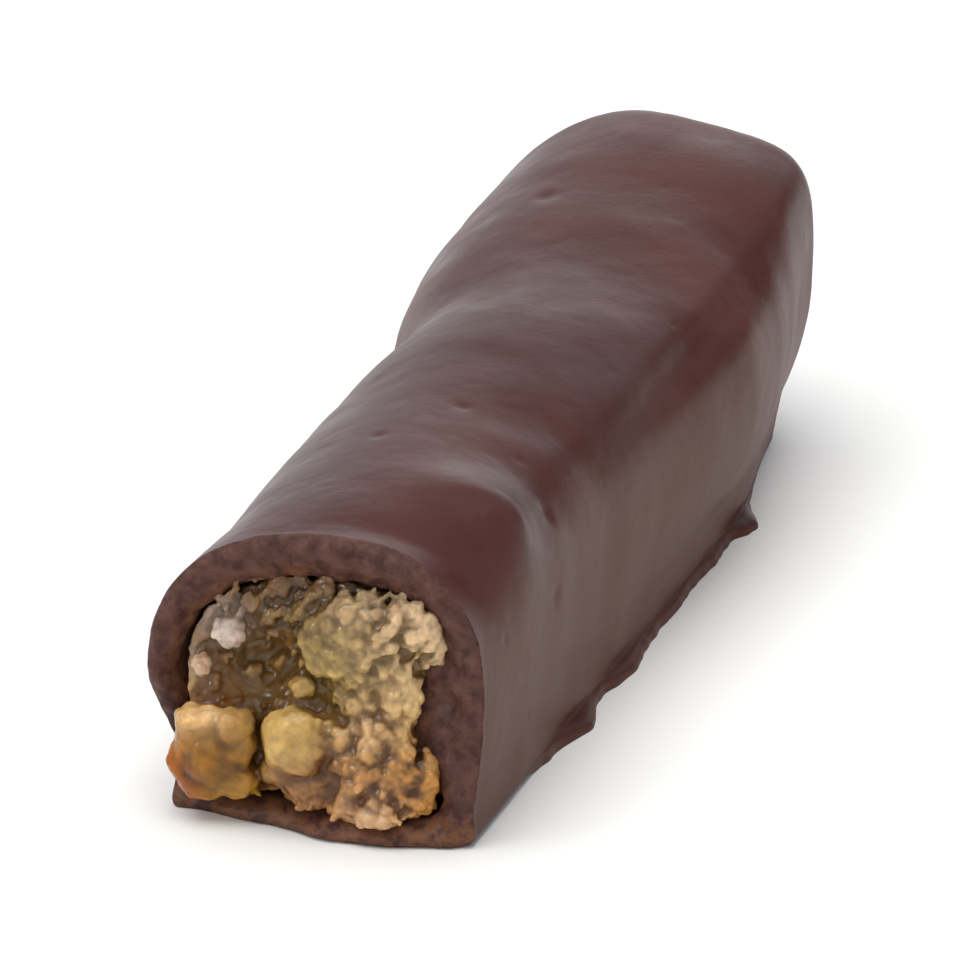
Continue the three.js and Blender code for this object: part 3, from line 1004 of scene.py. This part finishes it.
def noises_of(tree, table):
    """Noises between 0 and 1, by name, from a table of wavelengths in millimetres, detail and roughness."""
    coords = add(tree, "TexCoord").outputs["Object"]
    made = {}
    for name, (wave, detail, roughness) in table.items():
        sockets = {"Vector": coords, "Scale": 1 / (wave * MM), "Detail": detail, "Roughness": roughness}
        made[name] = add(tree, "TexNoise", sockets).outputs["Fac"]
    return made


def ranged(tree, value, low, high, to_low=0.0, to_high=1.0):
    sockets = {"Value": value, "From Min": low, "From Max": high, "To Min": to_low, "To Max": to_high}
    return add(tree, "MapRange", sockets, clamp=True).outputs["Result"]


def product(tree, first, second):
    return add(tree, "Math", {0: first, 1: second}, operation="MULTIPLY").outputs[0]


# Which sockets of a Mix node hold its two values and its result, for each kind of value.
MIX_SOCKETS = {"FLOAT": (2, 3, 0), "RGBA": (6, 7, 2)}


def mix(tree, share, first, second, kind="RGBA"):
    node = tree.nodes.new("ShaderNodeMix")
    node.data_type = kind
    a, b, result = MIX_SOCKETS[kind]
    for place, value in ((0, share), (a, first), (b, second)):
        plug(tree, value, node.inputs[place])
    return node.outputs[result]


def bump(tree, height, depth, strength, below=None):
    sockets = {"Height": height, "Distance": depth * MM, "Strength": strength}
    if below is not None:
        sockets["Normal"] = below
    return add(tree, "Bump", sockets).outputs["Normal"]


# Parts of a noise's range, over which one look goes over into another.
NARROW = (0.4, 0.6)
MIDDLE = (0.35, 0.65)
WIDE = (0.3, 0.7)
UPPER = (0.5, 0.75)

CHOCOLATE_DARK = linear(68, 35, 30)
CHOCOLATE_LIGHT = linear(80, 44, 38)
CHOCOLATE_BLOOM = linear(96, 70, 64)
FLANK_PAINTED_REFLECTION = linear(85, 46, 26)  # a painted warm reflection of the floor makes the sides a little browner than the top
# A painted sheen: grey-lilac, as the studio that the top reflects.
PAINTED_SHEEN_COLOUR = linear(82, 67, 67)
CHOCOLATE_BREAK = linear(66, 39, 34)
BREAK_CRUMB = linear(97, 66, 57)
SMEARED = linear(112, 74, 50)
CHOCOLATE_NOISES = {
    "cloud": (6, 3, 0.5),
    "patches": (2.2, 4, 0.6),
    "grain": (0.22, 3, 0.6),
    "crumbs": (0.5, 4, 0.65),
}
BLOOM_MOST = 0.12
PAINTED_SHEEN_SHARES = (0.25, 0.65)  # the least and the most of the painted sheen at a place
FLANK_MOST = 0.6
ROUGHNESS = {"satin": (0.3, 0.4), "flank": 0.44, "break": 0.5}
# Relief of the surface: depth in millimetres, and strength.
CHOCOLATE_RELIEF = {"patches": (0.05, 0.5), "crumbs": (0.08, 0.7), "grain": (0.012, 0.6)}


def coat_colour(tree, masks, noises):
    """Clouds of lighter chocolate, a little bloom, a painted sheen on places of the top and a painted warm
    reflection on the sides.
    """
    patches = noises["patches"]
    colour = mix(tree, ranged(tree, noises["cloud"], *MIDDLE), CHOCOLATE_DARK, CHOCOLATE_LIGHT)
    colour = mix(tree, ranged(tree, patches, *UPPER, 0, BLOOM_MOST), colour, CHOCOLATE_BLOOM)
    # Painted sheen on places of the top, broken up by the patches.
    painted_sheen = product(tree, masks["painted_sheen"], ranged(tree, patches, *WIDE, *PAINTED_SHEEN_SHARES))
    colour = mix(tree, painted_sheen, colour, PAINTED_SHEEN_COLOUR)
    # Painted warm reflection of the floor on the sides.
    return mix(tree, ranged(tree, masks["flank"], 0, 1, 0, FLANK_MOST), colour, FLANK_PAINTED_REFLECTION)


def chocolate_material():
    material, tree, shader = new_material("dark_chocolate")
    masks = {name: mask_of(tree, name) for name in AT_TIPS}
    noises = noises_of(tree, CHOCOLATE_NOISES)
    patches, crumbs = noises["patches"], noises["crumbs"]
    fracture = mix(tree, ranged(tree, crumbs, *MIDDLE), CHOCOLATE_BREAK, BREAK_CRUMB)
    colour = mix(tree, masks["break"], coat_colour(tree, masks, noises), fracture)
    smear = product(tree, masks["smear"], ranged(tree, crumbs, *NARROW))
    tree.links.new(mix(tree, smear, colour, SMEARED), shader.inputs["Base Color"])
    satin = ranged(tree, patches, *MIDDLE, *ROUGHNESS["satin"])
    satin = mix(tree, masks["flank"], satin, ROUGHNESS["flank"], "FLOAT")
    rough = mix(tree, masks["break"], satin, ROUGHNESS["break"], "FLOAT")
    tree.links.new(rough, shader.inputs["Roughness"])
    relief = bump(tree, patches, *CHOCOLATE_RELIEF["patches"])
    relief = bump(tree, product(tree, masks["break"], crumbs), *CHOCOLATE_RELIEF["crumbs"], relief)
    relief = bump(tree, noises["grain"], *CHOCOLATE_RELIEF["grain"], relief)
    tree.links.new(relief, shader.inputs["Normal"])
    shader.inputs["Specular IOR Level"].default_value = 0.16
    return material


PEEL_NOISES = {"cloud": (0.9, 4, 0.6), "grain": (0.12, 3, 0.6), "tone": (0.3, 3, 0.6)}
PEEL_TONES = (0.8, 1.2)  # the darkest and the lightest of its fine unevenness, for its colour
PEEL_GLOSS = (0.16, 0.36)  # the least and the most roughness
PEEL_RELIEF = (0.03, 0.5)
PEEL_DEPTH = (0.3, 0.75)  # how much light goes in, in the plain flesh and in the clear lobe


def peel_material():
    material, tree, shader = new_material("candied_peel")
    noises = noises_of(tree, PEEL_NOISES)
    flesh = add(tree, "Attribute", attribute_name="flesh").outputs["Color"]
    tone = ranged(tree, noises["tone"], *WIDE, *PEEL_TONES)
    toned = add(tree, "VectorMath", {0: flesh, "Scale": tone}, operation="SCALE").outputs["Vector"]
    tree.links.new(toned, shader.inputs["Base Color"])
    tree.links.new(ranged(tree, noises["cloud"], *WIDE, *PEEL_GLOSS), shader.inputs["Roughness"])
    tree.links.new(bump(tree, noises["grain"], *PEEL_RELIEF), shader.inputs["Normal"])
    depth = ranged(tree, mask_of(tree, "clear"), 0, 1, *PEEL_DEPTH)
    tree.links.new(depth, shader.inputs["Subsurface Weight"])
    shader.inputs["Subsurface Radius"].default_value = (1, 0.6, 0.25)
    shader.inputs["Subsurface Scale"].default_value = 0.6 * MM
    shader.inputs["Specular IOR Level"].default_value = 0.3
    shader.inputs["Coat Weight"].default_value = 0.14
    shader.inputs["Coat Roughness"].default_value = 0.08
    return material


# ---- Stage, light and camera ----

FLOOR_HALF = 3
FLOOR_COLOUR = (0.91, 0.905, 0.875, 1)
FLOOR_ROUGHNESS = 0.8

# How bright the surroundings are at each height: 0 is the horizon and 1 straight up.
SKY = [(0.0, 0.74), (0.18, 0.72), (0.36, 0.68), (0.55, 0.34), (1.0, 0.55)]
SKY_TINT = (0.95, 0.98, 1.07)  # its light is a little cool
# Brighter and darker sides of the studio: towards where, the cosines of the angles at which each begins
# and is full, how bright it is there, and how much of the rest it hides.
SIDES = [
    ((0.41, 0.9, 0.17), (0.962, 0.988), 0.0, 1.0),  # the dark side behind the stick, on its right
    ((-0.15, 0.98, 0.10), (0.94, 0.99), 1.35, 0.8),  # a bright screen behind it
    ((-0.25, -0.78, 0.55), (0.2, 0.95), 0.95, 0.8),  # a window, in front of it
]

# The camera, as the photo was taken: degrees round from the broken face and up, and metres away.
AZIMUTH = 17.0
ELEVATION = 20.6
DISTANCE = 0.699
LENS = 827
AIM = (-0.00045, -0.00127, 0.0046)  # the place it looks at
CLIP_FROM = 0.01


def pale_floor():
    half = FLOOR_HALF
    corners = [(-half, -half, 0), (half, -half, 0), (half, half, 0), (-half, half, 0)]
    floor = new_mesh("floor", corners, [(0, 1, 2, 3)], smooth=False)
    material, _, shader = new_material("floor_white")
    shader.inputs["Base Color"].default_value = FLOOR_COLOUR
    shader.inputs["Roughness"].default_value = FLOOR_ROUGHNESS
    floor.data.materials.append(material)


def surroundings():
    world = bpy.data.worlds.new("studio")
    bpy.context.scene.world = world
    world.use_nodes = True
    tree = world.node_tree
    direction = add(tree, "TexCoord").outputs["Generated"]
    height = add(tree, "SeparateXYZ", {"Vector": direction}).outputs["Z"]
    ramp = add(tree, "ValToRGB", {"Fac": height})
    stops = ramp.color_ramp.elements
    while len(stops) < len(SKY):
        stops.new(0.5)
    for stop, (place, bright) in zip(stops, SKY):
        stop.position = place
        stop.color = (*[bright * share for share in SKY_TINT], 1)
    colour = ramp.outputs["Color"]
    for towards, (begins, full), bright, hides in SIDES:
        vectors = {0: direction, 1: towards}
        facing = add(tree, "VectorMath", vectors, operation="DOT_PRODUCT").outputs["Value"]
        sockets = {"Value": facing, "From Min": begins, "From Max": full, "To Max": hides}
        share = add(tree, "MapRange", sockets, interpolation_type="SMOOTHSTEP").outputs["Result"]
        colour = mix(tree, share, colour, (bright, bright, bright, 1))
    tree.links.new(colour, tree.nodes["Background"].inputs["Color"])


def softbox(name, place, size, power, glossy_only=False):
    """A square light that shines on the frame's origin."""
    data = bpy.data.lights.new(name, "AREA")
    data.shape = "RECTANGLE"
    data.size, data.size_y = size
    data.energy = power
    lamp = bpy.data.objects.new(name, data)
    bpy.context.scene.collection.objects.link(lamp)
    lamp.location = place
    lamp.visible_diffuse = not glossy_only
    lamp.rotation_euler = (-Vector(place)).to_track_quat("-Z", "Y").to_euler()


def aim_camera():
    data = bpy.data.cameras.new("camera")
    camera = bpy.data.objects.new("camera", data)
    bpy.context.scene.collection.objects.link(camera)
    across, up = math.radians(AZIMUTH), math.radians(ELEVATION)
    back = Vector((math.sin(across) * math.cos(up), -math.cos(across) * math.cos(up), math.sin(up)))
    camera.location = Vector(AIM) + back * DISTANCE
    camera.rotation_euler = (-back).to_track_quat("-Z", "Y").to_euler()
    data.lens = LENS
    data.clip_start = CLIP_FROM
    bpy.context.scene.camera = camera


aim_camera()
pale_floor()
surroundings()
softbox("overhead", place=(-0.1, 0.0, 1.2), size=(1.2, 1.2), power=13)
softbox("glint", place=(-0.55, -0.75, 0.6), size=(0.3, 0.3), power=4, glossy_only=True)
bpy.context.scene.view_settings.view_transform = "Standard"

coat = chocolate_coat()
coat.data.materials.append(chocolate_material())
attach(coat, "root")
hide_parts("chocolate_coat")

peel = candied_peel()
peel.data.materials.clear()
peel.data.materials.append(peel_material())
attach(peel, "root")
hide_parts("candied_peel")
